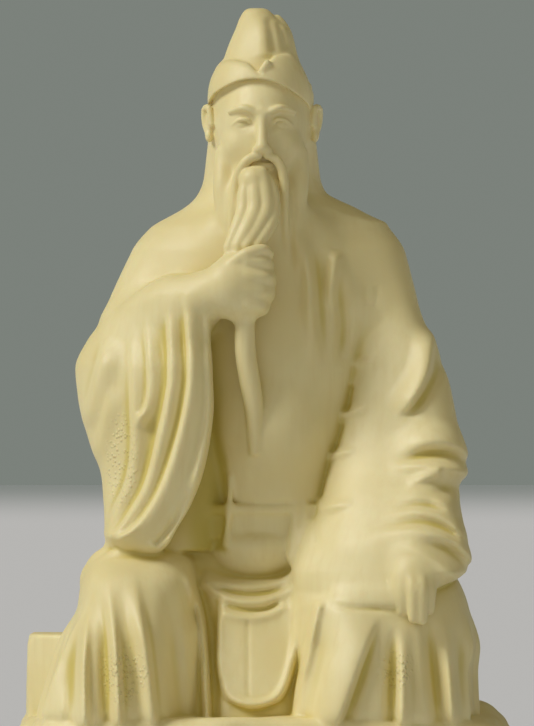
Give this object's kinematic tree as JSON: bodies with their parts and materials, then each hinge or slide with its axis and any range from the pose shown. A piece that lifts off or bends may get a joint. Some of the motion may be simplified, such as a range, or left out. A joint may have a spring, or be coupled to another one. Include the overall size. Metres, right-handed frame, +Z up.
{
  "type": "carved boxwood seated figure",
  "caption": "Carved seated figure in a wide-sleeved robe and tall soft cap, stroking a long beard, on a rock seat with a low plinth.",
  "frame": {"origin": "middle of the plinth's flat underside, at the centre of the outline seen from above", "axes": "+Z up from the plinth to the cap's tip, the figure faces -Y, +X is at the figure's left hand"},
  "size_m": [0.0774, 0.0604, 0.1204],
  "materials": {
    "boxwood": "fine-grained pale boxwood, hand-smoothed and matt, with tool marks in the folds"
  },
  "bodies": {
    "root": {"seated_figure_on_rock_plinth": "boxwood"}
  },
  "joints": []
}
